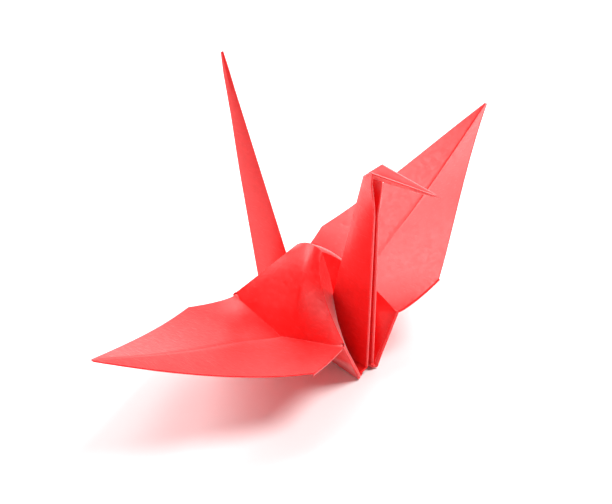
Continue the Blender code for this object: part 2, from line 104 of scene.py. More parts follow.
FIBRE_TO = 0.74
THREAD_SHARE = 0.3
ROUGH_FROM = 0.25
ROUGH_TO = 0.75
ROUGH_LOW = 0.28
ROUGH_HIGH = 0.42
BUMP_STRENGTH = 0.35
BUMP_DEPTH = 0.00004
SPECULAR_LEVEL = 0.5
SHEEN_WEIGHT = 0.85
SHEEN_TINT = (1.0, 0.85, 0.85, 1.0)
SHEEN_ROUGHNESS = 0.3

# Places of the colour mix node's two colours and of its result
MIX_A = 6
MIX_B = 7
MIX_RESULT = 2

# Where the paper is worn paler: its edges and folds; and a painted highlight, paler red on the upper
# faces of the head
WEAR_LAYER = "wear"
WEAR_ANGLE = radians(40.0)
WEAR_FROM = 0.86
WEAR_SHARE = 0.2
PATCH_LOW = 0.3
PATCH_HIGH = 0.6
PATCH_LEAST_SHARE = 0.35
# Painted highlight: the head's upper part, rising from this place, gets paler red on its
# upward-facing faces
PAINTED_HIGHLIGHT_LAYER = "painted_highlight"
PAINTED_HIGHLIGHT_FROM = Vector((0.010, 0.0, 0.038))
PAINTED_HIGHLIGHT_RISE = 0.005
PAINTED_HIGHLIGHT_SHARE = 0.85
UPWARD_LOW = 0.15
UPWARD_HIGH = 0.45


def add_camera():
    """The camera of the photograph, fitted to the corners of the crane."""
    az, el, roll = radians(AZIMUTH), radians(ELEVATION), radians(ROLL)
    back = Vector((sin(az) * cos(el), -cos(az) * cos(el), sin(el)))
    right = Vector((cos(az), sin(az), 0.0))
    up = back.cross(right)
    target = right * TARGET_RIGHT + up * TARGET_UP + MODEL_SHIFT
    side = right * cos(roll) + up * sin(roll)
    top = up * cos(roll) - right * sin(roll)
    data = bpy.data.cameras.new("camera")
    data.sensor_width = SENSOR_WIDTH
    data.lens = FOCAL_PIXELS * SENSOR_WIDTH / IMAGE_WIDTH
    data.clip_start = CLIP_START
    data.clip_end = CLIP_END
    camera = bpy.data.objects.new("camera", data)
    turn = Matrix((side, top, back)).transposed()
    camera.matrix_world = Matrix.Translation(target + back * DISTANCE) @ turn.to_4x4()
    bpy.context.scene.collection.objects.link(camera)
    bpy.context.scene.camera = camera


def add_world():
    """A dim white surround that the camera sees as plain white."""
    world = bpy.data.worlds.new("studio")
    world.use_nodes = True
    tree = world.node_tree
    tree.nodes["Background"].inputs["Color"].default_value = WORLD_COLOUR
    path = tree.nodes.new("ShaderNodeLightPath")
    strength = tree.nodes.new("ShaderNodeMath")
    strength.operation = 'MAXIMUM'
    strength.inputs[1].default_value = WORLD_STRENGTH
    tree.links.new(path.outputs["Is Camera Ray"], strength.inputs[0])
    tree.links.new(strength.outputs["Value"], tree.nodes["Background"].inputs["Strength"])
    bpy.context.scene.world = world


def add_lamp(name, azimuth, elevation, size, power):
    """A soft round lamp at LAMP_DISTANCE, aimed at the crane; the angles are in degrees."""
    az = radians(azimuth)
    el = radians(elevation)
    level = cos(el) * LAMP_DISTANCE
    place = Vector((level * cos(az), level * sin(az), sin(el) * LAMP_DISTANCE))
    data = bpy.data.lights.new(name, 'AREA')
    data.shape = 'DISK'
    data.size = size
    data.energy = power
    lamp = bpy.data.objects.new(name, data)
    lamp.location = place
    lamp.rotation_euler = (LAMP_AIM - place).to_track_quat('-Z', 'Y').to_euler()
    bpy.context.scene.collection.objects.link(lamp)


def add_floor():
    """A plain white table under the feet."""
    mesh = bpy.data.meshes.new("table")
    signs = ((-1, -1), (1, -1), (1, 1), (-1, 1))
    corners = [(x * FLOOR_HALF, y * FLOOR_HALF, 0.0) for x, y in signs]
    mesh.from_pydata(corners, [], [(0, 1, 2, 3)])
    floor = bpy.data.objects.new("table", mesh)
    bpy.context.scene.collection.objects.link(floor)
    material = bpy.data.materials.new("white_table")
    material.use_nodes = True
    shader = material.node_tree.nodes["Principled BSDF"]
    shader.inputs["Base Color"].default_value = FLOOR_COLOUR
    shader.inputs["Roughness"].default_value = FLOOR_ROUGHNESS
    mesh.materials.append(material)


# The sheet: its side, its thickness, and the room from one layer to the next
PAPER_SIDE = 0.150
PAPER = 0.00011
PITCH = 0.00024
BEAD = 0.00007
SLIT = 0.00012
MITRE_MOST = 0.00015
MERGE_DISTANCE = PAPER / 20.0
BEAD_SIDES = 8
SPINE_BEAD = 1.1 * BEAD
BEAK_BEAD = 1.2 * BEAD
BELLY_BEAD = 0.62 * PITCH
SHARP = radians(32.0)

# The bird base: angles of its creases
NARROW_ANGLE = radians(11.25)
TIP_ANGLE = radians(22.5)

# The body, in metres from the origin between the heels: corners, top, ridges, panels and valleys
CORNER_HEAD_X = 0.01834
CORNER_HEAD_Y = 0.00887
CORNER_HEAD_Z = 0.01253
CORNER_TAIL_X = 0.01590
CORNER_TAIL_Y = 0.00979
CORNER_TAIL_Z = 0.01062
BACK_X = -0.00077
BACK_Z = 0.02687
BACK_HEAD_LENGTH = 0.00381
BACK_HEAD_DROP = 0.00065
BACK_TAIL_LENGTH = 0.00418
BACK_TAIL_DROP = 0.00212
RIDGE_HEAD_OUT = -0.00244
RIDGE_HEAD_ASIDE = 0.00094
RIDGE_HEAD_RISE = 0.00162
RIDGE_TAIL_OUT = 0.0
RIDGE_TAIL_ASIDE = 0.00029
RIDGE_TAIL_RISE = -0.00016
PANEL_ASIDE = 0.0016
PANEL_RISE = 0.0016
PANEL_BEND_SHARE = 0.5
BEND_PLACE_SHARE = 0.64
HINGE_POWER = 7.0
HINGE_OVERLAP = 0.0004
HINGE_LAYER = -0.35
HINGE_CORNER_POWER = 16.0
SIDE_X = 0.00216
SIDE_Y = 0.01220
SIDE_Z = 0.00883
VALLEY_X = 0.00716
VALLEY_Z = 0.01195
HIDDEN_SHARES = (0.12, 0.55, 1.0)
HIDDEN_WIDTH_SHARE = 0.97
FOLD_CLEARANCE = 2.0 * PITCH

# Layers out from the pocket on the side wall under a wing, counted in pitches
PANEL_LAYER = 1.0
WING_TOP_LAYER = 2.0
WING_UNDER_LAYER = 3.2
FLAP_LAYER = 4.2

# Layers of a wing under its top
UNDER_LAYER = 1.0
UPPER_FLAP_LAYER = 2.0
LOWER_FLAP_LAYER = 3.0

# The neck and the tail
NECK_FOLD_Y = 0.07482
TAIL_FOLD_Y = 0.07574
NECK_FOOT_X = 0.01775
TAIL_FOOT_X = 0.01492
FOOT_HALF_GAP = 0.00249
HEEL_HALF_GAP = 0.0011
NECK_LEAN = radians(15.51)
TAIL_LEAN = radians(20.76)
NECK_SIDE_LEAN = radians(-2.81)
TAIL_SIDE_LEAN = radians(-1.80)
BEAK_LENGTH = 0.01887
BEAK_DROP = radians(0.69)
BEAK_TURN = radians(14.56)
TIP_BLUNT = 0.0022
HALF_OPEN_SHARE = 0.34
NECK_OPEN_NEAR = radians(-3.49)
NECK_OPEN_FAR = radians(7.54)
HEAD_OPEN_NEAR = radians(17.80)
HEAD_OPEN_FAR = radians(44.35)
HEAD_OPEN_LENGTH = 0.00715
HEAD_OPEN_POWER = 0.6
TAIL_OPEN = radians(1.80)
THIN_FROM = 0.030
THIN_LEAST_SHARE = 0.62
WEDGE_MOST_LAYERS = 3.6
WEDGE_WIDTH_SHARE = 0.5
TURN_LAYER = 0.5
LEG_INNER_END = 0.010
LEG_START = 0.004
HEAD_FOLD_SLOPE = 0.95
INNER_SHARE = HALF_OPEN_SHARE
SKIN_SHARES = (0.0, HALF_OPEN_SHARE, 1.0)
KNEE_SHARE = 0.5
BASE_INNER_SHARE = 0.11
TURN_INNER_SHARE = 0.36
BASE_LAYERS = (5.0, 4.0, 3.0)
LEG_LAYERS = (3.0, 2.0, 1.0)
WRAP_ROUND_SHARE = 0.8
WRAP_LAP = 0.5
WRAP_CLEARANCE = 3.0 * PITCH

# The beak, and the solid tip where its layers are pressed into one
BEAK_DEPTH = 1.6 * PITCH
BEAK_THIN_SHARE = 0.55
BEAK_ROUND = 0.5 * PITCH
BEAK_INNER_SHARE = 0.3
BEAK_SOLID_SHARE = 0.38
TIP_THICK = 1.6 * PITCH
TIP_SHIFT = 1.2 * PAPER
TIP_WIDTH_SHARE = 0.45
TIP_UNDER_SHARE = 0.6
TIP_END_SHARE = 0.4
TIP_END_WIDTH_SHARE = 0.25

# The wings
NEAR_RISE = radians(19.04)
FAR_RISE = radians(29.13)
NEAR_TURN = radians(-2.73)
FAR_TURN = radians(2.10)
NEAR_TWIST = radians(5.33)
FAR_TWIST = radians(-11.80)
NEAR_SAG = 0.00318
FAR_SAG = 0.00361
NEAR_SAG_POWER = 0.647
FAR_SAG_POWER = 0.638
NEAR_ROOF = radians(6.58)
FAR_ROOF = radians(-17.76)
ROOF_POWER = 1.5
HINGE_RADIUS = 0.0006
ROOT_BLEND = 0.022
CREASE_HALF = 0.00028
CREASE_DEPTH = 0.00006
CREASE_ROOT_SHARE = 0.2
CREASE_WIDTH_SHARE = 0.08
CREASE_HIDDEN_SHARE = 0.02
SLIT_WIDTH_SHARE = 0.3
FLAP_END_SHARE = 0.96
HEM_INSET = 0.3 * PITCH
HEM_ROUND_SHARE = 0.7

# Where the wing has rows and columns of points
WING_OUTER_SHARES = (
    0.9836, 0.93, 0.86, 0.79, 0.72, 0.65, 0.58, 0.51, 0.44, 0.37, 0.3, 0.23, 0.16, 0.08)
WING_EDGE_END_SHARE = 0.9815
WING_INNER_SHARES = (0.9, 0.8, 0.7, 0.6, 0.5, 0.4, 0.3, 0.22, 0.15, 0.1, 0.06, 0.03)
WING_HIDDEN_SHARES = (0.15, 1.0)
WIDTH_SHARES = (0.1, 0.2, 0.3, 0.4, 0.5, 0.6, 0.7, 0.8, 0.9, 1.0)
ROOT_SHARES = (BASE_INNER_SHARE, 0.19, 0.28, 0.37, 0.46, 0.55, 0.64, 0.73, 0.82, 0.91, 1.0)

# How far the sheets lap where they join: in pitches and in metres
EDGE_LAP = 0.44
SHEET_LAP = 0.00082

# How finely it is built
TURN_STEPS = 8
NECK_ROWS = 14
NECK_ROW_POWER = 0.7
POCKET_LEVELS = 24
BASE_ROWS = 8
PANEL_LEVELS = 24
PANEL_STEPS = 24
RIDGE_STEPS = 24
BEAK_ROWS = 2
FLAP_ROWS = 3
FLAP_STEPS = 2
HEM_STEPS = 6

# Signs of the two sides, in y, and of the two ends, in x
NEAR, FAR = -1.0, 1.0
HEAD, TAIL = 1.0, -1.0

# Places on the flat sheet, from the corner that becomes the tip of a leg: distances and slopes
narrow = tan(NARROW_ANGLE)
centre_y = PAPER_SIDE / sqrt(2.0)
wing_tip_y = PAPER_SIDE
knee_y = centre_y / (1.0 + narrow)
belly_y = PAPER_SIDE / 2.0
wide_y = tan(TIP_ANGLE) * wing_tip_y / (narrow + tan(TIP_ANGLE))
petal_y = belly_y / cos(TIP_ANGLE)
flap_x = knee_y - petal_y


def mix(a, b, t):
    return a.lerp(b, t)


def object_from(mesh, name):
    item = bpy.data.objects.new(name, mesh)
    bpy.context.scene.collection.objects.link(item)
    return item


def object_of(bm, name):
    """An object made of a bmesh, with its faces turned outwards."""
    bmesh.ops.recalc_face_normals(bm, faces=bm.faces)
    mesh = bpy.data.meshes.new(name)
    bm.to_mesh(mesh)
    bm.free()
    return object_from(mesh, name)


def bar(name, rings):
    """A closed bar through rings of points."""
    bm = bmesh.new()
    verts = [[bm.verts.new(p) for p in ring] for ring in rings]
    count = len(rings[0])
    for a, b in zip(verts, verts[1:]):
        for k in range(count):
            m = (k + 1) % count
            bm.faces.new((a[k], a[m], b[m], b[k]))
    bm.faces.new(list(reversed(verts[0])))
    bm.faces.new(verts[-1])
    return object_of(bm, name)


def baked(item):
    """Replaces an object by what its modifiers make of it."""
    graph = bpy.context.evaluated_depsgraph_get()
    mesh = bpy.data.meshes.new_from_object(item.evaluated_get(graph))
    item.modifiers.clear()
    old = item.data
    item.data = mesh
    bpy.data.meshes.remove(old)
    return item


def sheet(name, rows):
    """A piece of paper whose middle surface runs through rows of points."""
    bm = bmesh.new()
    verts = [[bm.verts.new(p) for p in row] for row in rows]
    for upper, lower in zip(verts, verts[1:]):
        for i in range(len(upper) - 1):
            bm.faces.new((upper[i], upper[i + 1], lower[i + 1], lower[i]))
    bmesh.ops.remove_doubles(bm, verts=bm.verts, dist=MERGE_DISTANCE)
    bmesh.ops.dissolve_degenerate(bm, edges=bm.edges, dist=MERGE_DISTANCE)
    item = object_of(bm, name)
    middles = [vert.co.copy() for vert in item.data.vertices]
    thick = item.modifiers.new("paper", 'SOLIDIFY')
    thick.thickness = PAPER
    thick.offset = 0.0
    thick.use_even_offset = False
    thick.thickness_clamp = 0.0
    baked(item)
    blunted(item.data, middles)
    return item


def blunted(mesh, middles):
    """Draws in the corners of sharp folds, which thickening pushes far out."""
    count = len(middles)
    for vert in mesh.vertices:
        middle = middles[vert.index % count]
        way = vert.co - middle
        if way.length > MITRE_MOST:
            vert.co = middle + way.normalized() * MITRE_MOST


def bead(name, points, radius=BEAD):
    """The rounded outside of a fold, along a line of points."""
    rings = []
    for i, p in enumerate(points):
        before = points[max(i - 1, 0)]
        after = points[min(i + 1, len(points) - 1)]
        along = (after - before).normalized()
        if i == 0:
            flat = along.orthogonal().normalized()
        else:
            flat = (flat - along * flat.dot(along)).normalized()
        other = along.cross(flat)
        ring = []
        for k in range(BEAD_SIDES):
            turn = 2.0 * pi * k / BEAD_SIDES
            ring.append(p + (flat * cos(turn) + other * sin(turn)) * radius)
        rings.append(ring)
    return bar(name, rings)


# Corners of the body
def corner(side, end):
    """Where the back's panel, the pocket and the wing meet."""
    if end == HEAD:
        return Vector((CORNER_HEAD_X, side * CORNER_HEAD_Y, CORNER_HEAD_Z))
    return Vector((-CORNER_TAIL_X, side * CORNER_TAIL_Y, CORNER_TAIL_Z))


def fold_y(end):
    """Where a leg is folded up, as a distance from its tip."""
    return NECK_FOLD_Y if end == HEAD else TAIL_FOLD_Y


def foot(side, end):
    """The lowest corner of the reverse fold, on the table."""
    x = NECK_FOOT_X if end == HEAD else -TAIL_FOOT_X
    return Vector((x, side * FOOT_HALF_GAP, 0.0))


def heel(end):
    """Where the spine of the leg meets its reverse fold."""
    toe = foot(NEAR, end)
    return Vector((toe.x - end * narrow * fold_y(end), 0.0, 0.0))


def side_middle(side):
    """The middle of the fold between the back's panel and the wing."""
    return Vector((SIDE_X, side * SIDE_Y, SIDE_Z))


def hinge_point(side, end, share):
    """Along the fold between the back's panel and the wing, from its middle to a corner."""
    return mix(side_middle(side), corner(side, end), share)


def top_middle():
    """The highest place of the back, the middle of the square."""
    return Vector((BACK_X, 0.0, BACK_Z))


def apex(end):
    """The head's or the tail's end of the short round top of the back."""
    if end == HEAD:
        return Vector((BACK_X + BACK_HEAD_LENGTH, 0.0, BACK_Z - BACK_HEAD_DROP))
    return Vector((BACK_X - BACK_TAIL_LENGTH, 0.0, BACK_Z - BACK_TAIL_DROP))


def wall_point(side, end, across, up, layer):
    """A flat place on the side wall under the wing, a number of layers out from the pocket."""
    share = across / (narrow * up)
    down = (knee_y - up) / (knee_y - fold_y(end))
    top = hinge_point(side, end, share)
    low = foot_line(side, end, share)
    out = wall_normal(side, end)
    return mix(top, low, down) + out * (layer * PITCH)


def foot_line(side, end, share):
    """Along the reverse fold at the bottom, from beside the heel to the foot."""
    place = mix(heel(end), foot(side, end), share)
    place.y = side * (HEEL_HALF_GAP + (FOOT_HALF_GAP - HEEL_HALF_GAP) * share)
    return place


def wall_normal(side, end):
    """The way out from the side wall under the wing."""
    along = corner(side, end) - side_middle(side)
    down = mix(heel(end), foot(side, end), 0.5) - mix(side_middle(side), corner(side, end), 0.5)
    out = along.cross(down).normalized()
    return out if out.y * side > 0.0 else -out


def valley_point(end, t):
    """The valley of a pocket, from the back (0) to the heel (1)."""
    a = apex(end)
    b = Vector((end * VALLEY_X, 0.0, VALLEY_Z))
    c = heel(end)
    b = b * 2.0 - (a + c) * 0.5
    return a * (1.0 - t) ** 2 + b * (2.0 * t * (1.0 - t)) + c * t ** 2


def ridge_point(side, end, t):
    """The fold between the back's panel and the pocket, from the back (0) to the corner (1)."""
    a = apex(end)
    b = corner(side, end)
    out = RIDGE_HEAD_OUT if end == HEAD else RIDGE_TAIL_OUT
    aside = RIDGE_HEAD_ASIDE if end == HEAD else RIDGE_TAIL_ASIDE
    rise = RIDGE_HEAD_RISE if end == HEAD else RIDGE_TAIL_RISE
    swell = Vector((end * out, side * aside, rise)) * (4.0 * t * (1.0 - t))
    return mix(a, b, t) + swell


def middle_point(side, t):
    """The centre crease of the back's panel, from the back (0) to the wing (1)."""
    swell = Vector((0.0, side * PANEL_ASIDE, PANEL_RISE)) * (4.0 * t * (1.0 - t))
    return mix(top_middle(), side_middle(side), t) + swell


def panel_rows(side, levels, steps):
    """The back's panel, then its hidden lower part down to the belly crease."""
    rows = []
    for n in range(levels + 1):
        row = [panel_point(side, n / levels, k / steps) for k in range(steps + 1)]
        rows.append(row)
    for t in HIDDEN_SHARES:
        up = knee_y + (belly_y - knee_y) * t
        row = []
        for k in range(steps + 1):
            f = 2.0 * k / steps - 1.0
            end = HEAD if f > 0.0 else TAIL
            across = abs(f) * HIDDEN_WIDTH_SHARE * narrow * up
            up_here = max(up, fold_y(end) + FOLD_CLEARANCE)
            row.append(wall_point(side, end, across, up_here, PANEL_LAYER))
        rows.append(row)
    return rows


def back_rows(levels, steps):
    """The whole back in one, from under one wing over the top to under the other."""
    near = panel_rows(NEAR, levels, steps)
    far = panel_rows(FAR, levels, steps)
    return list(reversed(near)) + far[1:]


def curve(left, mid, right, t):
    """Through three points: the outer ones at 0 and 1, the middle one at a half."""
    bent = mid * 2.0 - (left + right) * 0.5
    return left * (1.0 - t) ** 2 + bent * (2.0 * t * (1.0 - t)) + right * t ** 2


def panel_point(side, down, across):
    """On the back's panel: down from its top to the wing's hinge, across from tail to head."""
    left = ridge_point(side, TAIL, down)
    mid = middle_point(side, down)
    right = ridge_point(side, HEAD, down)
    arc = curve(left, mid, right, across)
    turn = curve(left, mid, right, BEND_PLACE_SHARE)
    if across < BEND_PLACE_SHARE:
        straight = mix(left, turn, across / BEND_PLACE_SHARE)
    else:
        straight = mix(turn, right, (across - BEND_PLACE_SHARE) / (1.0 - BEND_PLACE_SHARE))
    bent = mix(arc, straight, PANEL_BEND_SHARE * sin(pi * down))
    f = 2.0 * across - 1.0
    root = wing_point(side, f * narrow * knee_y, knee_y + HINGE_OVERLAP, HINGE_LAYER)
    share = down ** HINGE_POWER * (1.0 - abs(f) ** HINGE_CORNER_POWER)
    return mix(bent, root, share)


def edge_point(side, end, t):
    """Down the ridge to the corner, then down the narrowed edge to the foot."""
    if t <= KNEE_SHARE:
        return ridge_point(side, end, t / KNEE_SHARE)
    return mix(corner(side, end), foot(side, end), (t - KNEE_SHARE) / (1.0 - KNEE_SHARE))


# Legs: the neck and the tail
def leg_axis(end):
    """The way up along a leg's spine."""
    lean = NECK_LEAN if end == HEAD else TAIL_LEAN
    slant = NECK_SIDE_LEAN if end == HEAD else TAIL_SIDE_LEAN
    return Vector((end * sin(lean), sin(slant), cos(lean))).normalized()


def leg_forward(end):
    """The way from a leg's spine to its edges, before its halves turn apart."""
    axis = leg_axis(end)
    return (Vector((end, 0.0, 0.0)) - axis * axis.x * end).normalized()


def opening(side, end, up):
    """How far one half of a leg turns away from the middle plane, at a distance from the tip."""
    if end == HEAD:
        low = NECK_OPEN_NEAR if side == NEAR else NECK_OPEN_FAR
        high = HEAD_OPEN_NEAR if side == NEAR else HEAD_OPEN_FAR
        t = max(0.0, min(1.0, (up - BEAK_LENGTH) / HEAD_OPEN_LENGTH))
        return high + (low - high) * t ** HEAD_OPEN_POWER
    return TAIL_OPEN


def pitch_at(up):
    """The room from one layer to the next, less near the tip of a leg."""
    return PITCH * max(THIN_LEAST_SHARE, min(1.0, up / THIN_FROM))


def leg_point(side, end, share, up, layer, out=0.0):
    """A place on a leg: share of its width, distance from its tip, layers in from the outer one."""
    axis = leg_axis(end)
    forward = leg_forward(end)
    side_way = axis.cross(forward)
    if side_way.y * side < 0.0:
        side_way = -side_way
    angle = opening(side, end, up)
    pitch = pitch_at(up)
    wedge = min(WEDGE_MOST_LAYERS * pitch, WEDGE_WIDTH_SHARE * narrow * up)
    wedge *= min(1.0, share / HALF_OPEN_SHARE)
    along = share * narrow * up + out * pitch
    base = heel(end) + axis * (fold_y(end) - up)
    place = forward * (along * cos(angle)) + side_way * (along * sin(angle) + wedge)
    inward = forward * sin(angle) - side_way * cos(angle)
    return base + place + inward * (layer * pitch)


def turn_rows(side, end, columns):
    """Around the reverse fold at the bottom: from the wall, underneath, up into the leg."""
    rows = []
    out = wall_normal(side, end)
    inward = Vector((0.0, -side, 0.0))
    down = Vector((0.0, 0.0, -1.0))
    across = (foot(side, end) - heel(end)).normalized()
    for n in range(TURN_STEPS + 1):
        t = n / TURN_STEPS
        angle = pi * t
        way = out if angle < pi / 2.0 else inward
        row = []
        for base_share, leg_share, base_layer, leg_layer, extra in columns:
            share = base_share + (leg_share - base_share) * t
            line = foot_line(side, end, share) + across * (extra * PITCH)
            spread = min(1.0, share / HALF_OPEN_SHARE)
            line.y *= spread
            radius = (base_layer + (leg_layer - base_layer) * t + TURN_LAYER) * PITCH * spread
            row.append(line + (way * abs(cos(angle)) + down * sin(angle)) * radius)
        rows.append(row)
    return rows


def top_up(end, share, last):
    """The highest station of a leg: the head's fold for the neck, the tip for the tail."""
    if end == HEAD:
        return BEAK_LENGTH - share * narrow * BEAK_LENGTH * HEAD_FOLD_SLOPE
    return last


def skin_rows(side, end):
    """The leg's outer layer: the pocket, around the reverse fold, and up the leg."""
    rows = []
    for n in range(POCKET_LEVELS + 1):
        t = n / POCKET_LEVELS
        outer = edge_point(side, end, t)
        inner = valley_point(end, t)
        lap = (outer - inner).normalized() * (EDGE_LAP * PITCH * t ** 2)
        rows.append([mix(inner, outer, s) for s in SKIN_SHARES] + [outer + lap])
    rows = rows[:-1]
    turn = [(s, s, 0.0, 0.0, 0.0) for s in SKIN_SHARES]
    rows += turn_rows(side, end, turn + [(1.0, 1.0, 0.0, 0.0, EDGE_LAP)])
    start = fold_y(end) - LEG_START
    for n in range(NECK_ROWS + 1):
        t = n / NECK_ROWS
        if end == HEAD:
            t = t ** NECK_ROW_POWER
        row = []
        for s in SKIN_SHARES:
            up = start + (top_up(end, s, TIP_BLUNT) - start) * t
            row.append(leg_point(side, end, s, up, 0.0))
        row.append(leg_point(side, end, 1.0, up, 0.0, EDGE_LAP))
        rows.append(row)
    return rows


def wrap_columns(layers):
    """Across the inner layers of a half leg: around the edge, back, and twice more."""
    far, second, third = layers
    radius = far / 2.0
    columns = [(1.0, 0.0, 0.0)]
    for k in (1, 2):
        angle = -pi / 2.0 + pi * k / 3.0
        columns.append((1.0, radius + radius * sin(angle), radius * cos(angle) * WRAP_ROUND_SHARE))
    columns.append((1.0, far, 0.0))
    columns.append((INNER_SHARE, far, 0.0))
    columns.append((INNER_SHARE, (far + second) / 2.0, -WRAP_LAP))
    columns.append((INNER_SHARE, second, 0.0))
    columns.append((1.0, second, 0.0))
    columns.append((1.0, (second + third) / 2.0, WRAP_LAP))
    columns.append((1.0, third, 0.0))
    columns.append((INNER_SHARE, third, 0.0))
    return columns


def wrap_rows(side, end):
    """The inner layers of a half leg, from the wall around the reverse fold and up the leg."""
    base = wrap_columns(BASE_LAYERS)
    leg = wrap_columns(LEG_LAYERS)
    rows = []
    across = (foot(side, end) - heel(end)).normalized()
    for n in range(BASE_ROWS):
        t = n / BASE_ROWS
        row = []
        for share, layer, out in base:
            inner = BASE_INNER_SHARE + (TURN_INNER_SHARE - BASE_INNER_SHARE) * t ** 3
            wide = share if share == 1.0 else inner
            top = petal_y + (knee_y - petal_y) * wide
            up = top + (fold_y(end) + WRAP_CLEARANCE - top) * t
            row.append(wall_point(side, end, wide * narrow * up, up, layer) + across * (out * PITCH))
        rows.append(row)
    turn = []
    for (share, layer, out), (_, leg_layer, _) in zip(base, leg):
        wide = share if share == 1.0 else TURN_INNER_SHARE
        turn.append((wide, share, layer, leg_layer, out))
    rows += turn_rows(side, end, turn)
    start = fold_y(end) - LEG_START
    for n in range(NECK_ROWS + 1):
        t = n / NECK_ROWS
        if end == HEAD:
            t = t ** NECK_ROW_POWER
        row = []
        for share, layer, out in leg:
            last = top_up(end, share, LEG_INNER_END)
            up = start + (last - start) * t
            row.append(leg_point(side, end, share, up, layer, out))
        rows.append(row)
    return rows


def beak_sheets(pieces):
    """The beak: each half of the neck's tip, folded forward and spread."""
    nape = leg_point(NEAR, HEAD, 0.0, BEAK_LENGTH, 0.0)
    way = Vector((cos(BEAK_DROP) * cos(BEAK_TURN), cos(BEAK_DROP) * sin(BEAK_TURN), -sin(BEAK_DROP)))
    tip = nape + way * BEAK_LENGTH
    for side in (NEAR, FAR):
        rim = leg_point(side, HEAD, 1.0, top_up(HEAD, 1.0, 0.0), 0.0)
        under = (rim - nape).cross(way).normalized()
        back = under if under.y * side < 0.0 else -under
        rows = []
        for n in range(BEAK_ROWS + 1):
            t = n / BEAK_ROWS * (1.0 - TIP_BLUNT / BEAK_LENGTH)
            a = mix(nape, tip, t)
            b = mix(rim, tip, t)
            depth = back * (BEAK_DEPTH * (1.0 - t * BEAK_THIN_SHARE))
            out = (b - a).normalized() * BEAK_ROUND
            inner = mix(a, b, BEAK_INNER_SHARE) + depth
            rows.append([a, mix(a, b, 0.5), b, b + depth * 0.5 + out, b + depth, inner])
        pieces.append(sheet("beak", rows))
        pieces.append(bead("beak_fold", [nape, rim]))
    ends = [mix(nape, tip, t) for t in (0.0, 0.5, 1.0 - 0.5 * TIP_BLUNT / BEAK_LENGTH)]
    pieces.append(bead("beak_spine", ends, BEAK_BEAD))
    start = mix(nape, tip, 1.0 - BEAK_SOLID_SHARE)
    pieces.append(tip_solid(start, tip, BEAK_SOLID_SHARE * BEAK_LENGTH, way))


def tip_solid(start, tip, length, way):
    """The end of the beak, where the layers are pressed into one."""
    width = narrow * length * TIP_WIDTH_SHARE
    up = Vector((0.0, 0.0, 1.0))
    across = way.cross(up).normalized()
    rise = across.cross(way).normalized()
    end = tip - way * (TIP_BLUNT * TIP_END_SHARE)
    rings = []
    for centre, size in ((start, width), (end, width * TIP_END_WIDTH_SHARE)):
        thick = min(size, TIP_THICK)
        ways = (across * thick, rise * size, across * -thick, rise * (-size * TIP_UNDER_SHARE))
        rings.append([centre + off + way * TIP_SHIFT for off in ways])
    return bar("tip", rings)


# Wings
def half_width(up):
    """Half the width of a wing, at a distance from the leg's tip."""
    if up >= wide_y:
        return tan(TIP_ANGLE) * (wing_tip_y - up)
    return narrow * up


def wing_frame(side):
    """The middle of a wing's hinge, and the ways across, out along and down through the wing."""
    rise = NEAR_RISE if side == NEAR else FAR_RISE
    turn = NEAR_TURN if side == NEAR else FAR_TURN
    head = corner(side, HEAD)
    tail = corner(side, TAIL)
    across = (head - tail).normalized()
    out = Vector((sin(turn), side * cos(turn) * cos(rise), sin(rise))).normalized()
    out = (out - across * out.dot(across)).normalized()
    down = across.cross(out).normalized()
    if down.z > 0.0:
        down = -down
    return mix(head, tail, 0.5), across, out, down


def wing_point(side, x, up, layer):
    """A place on a wing: across from its crease, distance from the leg's tip, layers down."""
    origin, across, out, down = wing_frame(side)
    far = up - knee_y
    length = wing_tip_y - knee_y
    out_share = min(1.0, far / length)
    sag_power = NEAR_SAG_POWER if side == NEAR else FAR_SAG_POWER
    sag = (NEAR_SAG if side == NEAR else FAR_SAG) * sin(pi * out_share ** sag_power)
    roof = (NEAR_ROOF if side == NEAR else FAR_ROOF) * out_share ** ROOF_POWER
    sag += abs(x) * tan(roof)
    twist = (NEAR_TWIST if side == NEAR else FAR_TWIST) * far / length
    place = origin + across * (x * cos(twist)) + out * far + down * (sag + x * sin(twist))
    f = max(-1.0, min(1.0, x / (narrow * knee_y)))
    end = HEAD if f >= 0.0 else TAIL
    root = hinge_point(side, end, abs(f))
    slack = root - (origin + across * (f * narrow * knee_y))
    fade = max(0.0, 1.0 - far / ROOT_BLEND)
    place += slack * fade * fade
    crease = max(0.0, 1.0 - abs(x) / CREASE_HALF) * CREASE_DEPTH
    crease *= min(1.0, far / ROOT_BLEND + CREASE_ROOT_SHARE)
    lean = min(1.0, far / HINGE_RADIUS)
    normal = mix(mix(wall_normal(side, end), down, 0.5).normalized(), down, lean).normalized()
    return place + down * crease + normal * ((WING_TOP_LAYER + layer) * PITCH)


def wing_stations():
    """Distances of the wing's rows from the leg's tip, from the wing's tip to its hinge."""
    outer = [wide_y + (wing_tip_y - wide_y) * share for share in WING_OUTER_SHARES]
    inner = [knee_y + (wide_y - knee_y) * share for share in WING_INNER_SHARES]
    return outer + [wide_y] + inner + [knee_y]


def wing_top(side):
    """The wing's upper layer, then its hidden lower part down to the belly crease."""
    marks = list(reversed(WIDTH_SHARES))
    rows = []
    for up in wing_stations():
        w = half_width(up)
        small = min(CREASE_HALF, w * CREASE_WIDTH_SHARE)
        xs = [-w * m for m in marks] + [-small, 0.0, small] + [w * m for m in WIDTH_SHARES]
        rows.append([wing_point(side, x, up, 0.0) for x in xs])
    centre = [-CREASE_HIDDEN_SHARE, 0.0, CREASE_HIDDEN_SHARE]
    for t in WING_HIDDEN_SHARES:
        up = knee_y + (belly_y - knee_y) * t
        row = []
        for f in [-m for m in marks] + centre + list(WIDTH_SHARES):
            end = HEAD if f >= 0.0 else TAIL
            up_here = max(up, fold_y(end) + FOLD_CLEARANCE)
            across = abs(f) * HIDDEN_WIDTH_SHARE * narrow * up_here
            row.append(wall_point(side, end, across, up_here, WING_TOP_LAYER))
        rows.append(row)
    return rows


